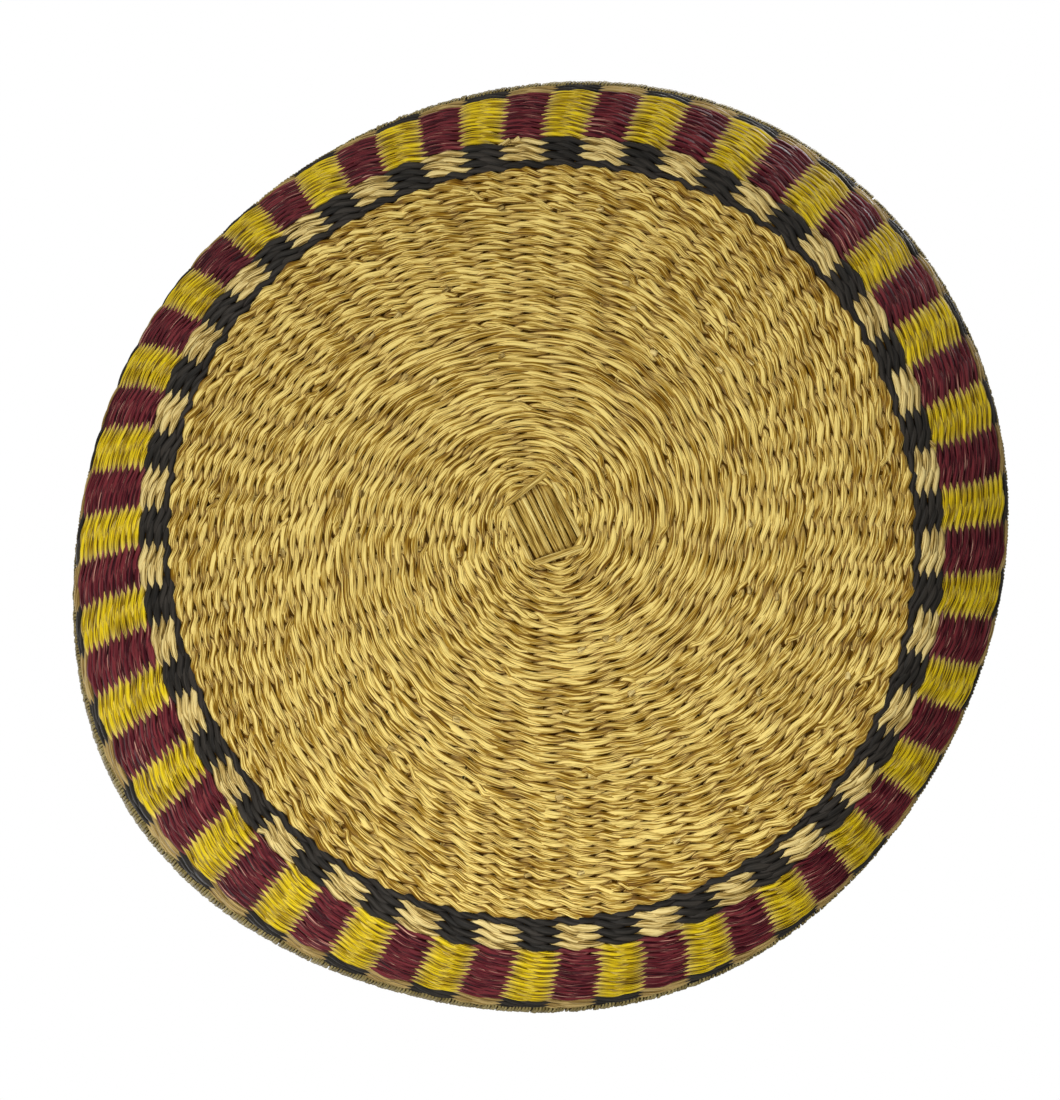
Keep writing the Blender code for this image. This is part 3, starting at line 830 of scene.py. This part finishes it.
crossStraws = strawAlong(crossPaths(), stakes["halfWidth"], stakes["halfThickness"])
startNodes = [f"outside_straw_{n:02d}" for n in range(1, 10)]
startNodes += [f"crossing_straw_{n:02d}" for n in range(1, 8)]
makePiece("startCross", *joined(nineStraws, crossStraws), stakeStraw, "stake_straw", startNodes)
added = np.arange(1, 32)
addedPaths = smoothed(upTheWall(2 * added - 1, stakes["addedFrom"]), 2)
addedNodes = [f"added_stake_{n:02d}" for n in added]
addedStraws = strawAlong(addedPaths, stakes["halfWidth"], stakes["halfThickness"])
makePiece("addedStakes", *addedStraws, stakeStraw, "stake_straw", addedNodes)

# Cut ends of straws that peep out between the rows, most of them where more stitches begin

cutEnds = {
    # How far from the middle, along the surface, and how many
    "rings": ((0.0420, 3), (0.0595, 7), (0.0685, 8), (0.0780, 5), (0.0860, 10), (0.1075, 10),
              (0.1320, 5)),
    "scatter": 0.0015,
    "steps": (0.0, 0.35, 0.7, 0.98, 1.0),       # points along a stub, close together at its blunt end
    "length": 0.0030,
    "aside": 0.0004,
    "rootLevel": 0.0006,
    "standsOut": 0.0027,
    "halfWidth": 0.0008,
    "halfThickness": 0.0007,
}


def stubPaths():
    # Each stub rises slantwise out of the weave along its row and ends bluntly.
    away = np.repeat(*zip(*cutEnds["rings"]))
    away = away + randomSource.uniform(-cutEnds["scatter"], cutEnds["scatter"], len(away))
    turned = randomSource.uniform(0.0, math.tau, len(away))
    along = np.array(cutEnds["steps"])[None, :]
    angle = turned[:, None] + along * (cutEnds["length"] / away)[:, None]
    length = away[:, None] - shape["baseRadius"] + cutEnds["aside"] * along
    rise = cutEnds["standsOut"] - cutEnds["rootLevel"]
    return onBasket(length, angle, cutEnds["rootLevel"] + rise * along)


stubs = strawAlong(stubPaths(), cutEnds["halfWidth"], cutEnds["halfThickness"])
makePiece("cutEnds", *stubs, paleStraw, "stake_straw", addedNodes)

# Studio

studio = {
    "cameraDistance": 0.80,     # below the base
    "aim": (-0.0046, 0.00385),
    "lean": 0.035,              # the camera stands this far to one side of the point it is aimed at
    "lens": 80.3,
    "floorSize": 6.0,
    "floorColour": (0.80, 0.80, 0.79, 1),
    "floorRoughness": 0.9,
    "lamps": (                  # name, place, size, watts
        ("keyBelow", (-1.20, -1.10, -1.50), 0.9, 22.5),
        ("fillBelow", (-0.06, 0.37, -0.38), 0.3, 1.55),
        ("sideBelow", (1.00, -1.00, -0.40), 0.6, 3.6),
        ("keyAbove", (1.8, -2.4, 3.3), 2.2, 104.0),
        ("fillAbove", (-2.4, 1.2, 2.7), 2.6, 50.0),
    ),
    "roomLight": 0.22,
}

floorMesh = bpy.data.meshes.new("floor")
half = studio["floorSize"] / 2
floorCorners = [(-half, -half, 0), (half, -half, 0), (half, half, 0), (-half, half, 0)]
floorMesh.from_pydata(floorCorners, [], [(0, 1, 2, 3)])
floor = bpy.data.objects.new("floor", floorMesh)
bpy.context.scene.collection.objects.link(floor)
for ray in ("visible_diffuse", "visible_glossy", "visible_transmission", "visible_shadow"):
    setattr(floor, ray, False)
# Seen from above only, so that the underside can be photographed
floorMaterial = bpy.data.materials.new("paleFloor")
floorMaterial.use_nodes = True
nodes, links = floorMaterial.node_tree.nodes, floorMaterial.node_tree.links
floorShader = nodes["Principled BSDF"]
floorShader.inputs["Base Color"].default_value = studio["floorColour"]
floorShader.inputs["Roughness"].default_value = studio["floorRoughness"]
side = nodes.new("ShaderNodeNewGeometry")
clear = nodes.new("ShaderNodeBsdfTransparent")
choose = nodes.new("ShaderNodeMixShader")
links.new(side.outputs["Backfacing"], choose.inputs["Fac"])
links.new(floorShader.outputs["BSDF"], choose.inputs[1])
links.new(clear.outputs["BSDF"], choose.inputs[2])
links.new(choose.outputs["Shader"], nodes["Material Output"].inputs["Surface"])
floorMesh.materials.append(floorMaterial)

# Each lamp faces the basket's middle
for name, place, size, watts in studio["lamps"]:
    lampData = bpy.data.lights.new(name, "AREA")
    lampData.size = size
    lampData.energy = watts
    lamp = bpy.data.objects.new(name, lampData)
    away = np.array(place) / np.linalg.norm(place)
    lamp.location = place
    lamp.rotation_euler = (math.acos(away[2]), 0.0, math.atan2(away[1], away[0]) + math.tau / 4)
    bpy.context.scene.collection.objects.link(lamp)

# Soft even light from all round, and plain white where the camera sees past the floor
world = bpy.data.worlds.new("studioRoom")
bpy.context.scene.world = world
world.use_nodes = True
nodes, links = world.node_tree.nodes, world.node_tree.links
room = nodes["Background"]
room.inputs["Color"].default_value = (1, 1, 1, 1)
room.inputs["Strength"].default_value = studio["roomLight"]
white = nodes.new("ShaderNodeBackground")
white.inputs["Color"].default_value = (1, 1, 1, 1)
rays = nodes.new("ShaderNodeLightPath")
pick = nodes.new("ShaderNodeMixShader")
links.new(rays.outputs["Is Camera Ray"], pick.inputs["Fac"])
links.new(room.outputs["Background"], pick.inputs[1])
links.new(white.outputs["Background"], pick.inputs[2])
links.new(pick.outputs["Shader"], nodes["World Output"].inputs["Surface"])

bpy.context.scene.view_settings.view_transform = "Standard"
cameraData = bpy.data.cameras.new("camera")
cameraData.lens = studio["lens"]
camera = bpy.data.objects.new("camera", cameraData)
aimX, aimY = studio["aim"]
camera.location = (aimX, aimY + studio["lean"], -studio["cameraDistance"])
leanAngle = math.atan2(studio["lean"], studio["cameraDistance"])
camera.rotation_euler = (math.pi + leanAngle, 0.0, 0.0)
bpy.context.scene.collection.objects.link(camera)
bpy.context.scene.camera = camera
print("studio ready")
